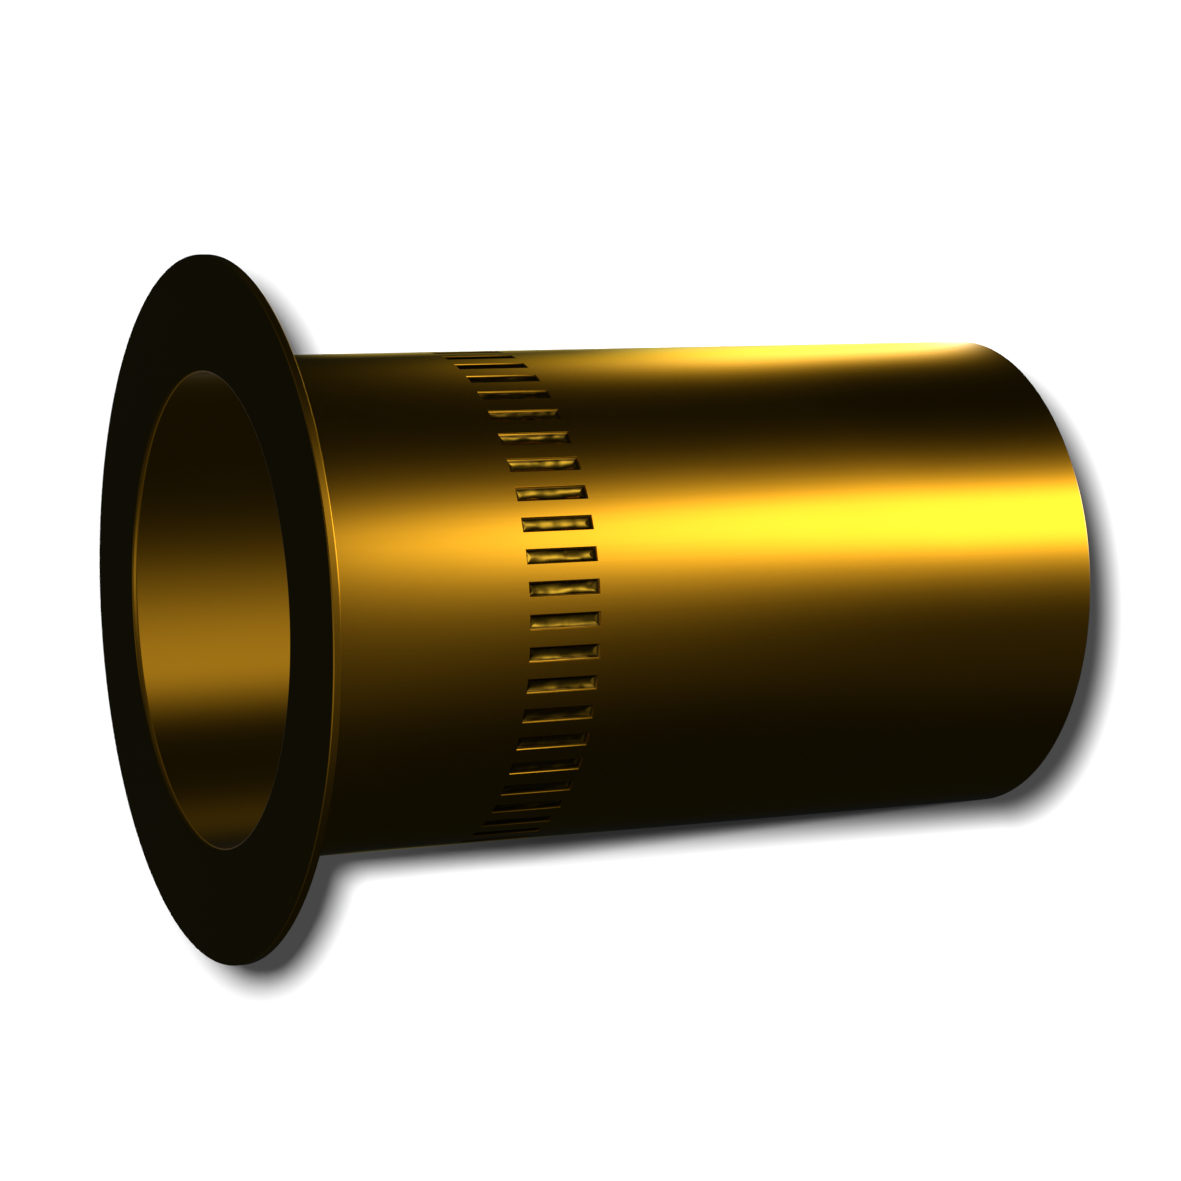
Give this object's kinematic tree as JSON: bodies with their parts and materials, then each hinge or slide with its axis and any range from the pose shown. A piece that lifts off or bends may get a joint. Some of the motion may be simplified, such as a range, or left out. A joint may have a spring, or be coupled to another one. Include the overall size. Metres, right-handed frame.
{
  "type": "pipe support sleeve",
  "caption": "Thin brass liner tube with a wide flat end flange and a band of short axial grip slots, pushed into the end of a plastic pipe to keep it round under a compression fitting.",
  "frame": {"origin": "centre of the plain end's cut face, on the bore axis; the sleeve stands on this end", "axes": "+Z along the bore axis from the plain end towards the flange; X and Y are any two radial directions, with one grip slot centred on +X"},
  "size_m": [0.0276, 0.0276, 0.0345],
  "materials": {
    "brass": "bright drawn brass, fine turning marks on the flange"
  },
  "bodies": {
    "root": {"support_sleeve": "brass"}
  },
  "joints": []
}
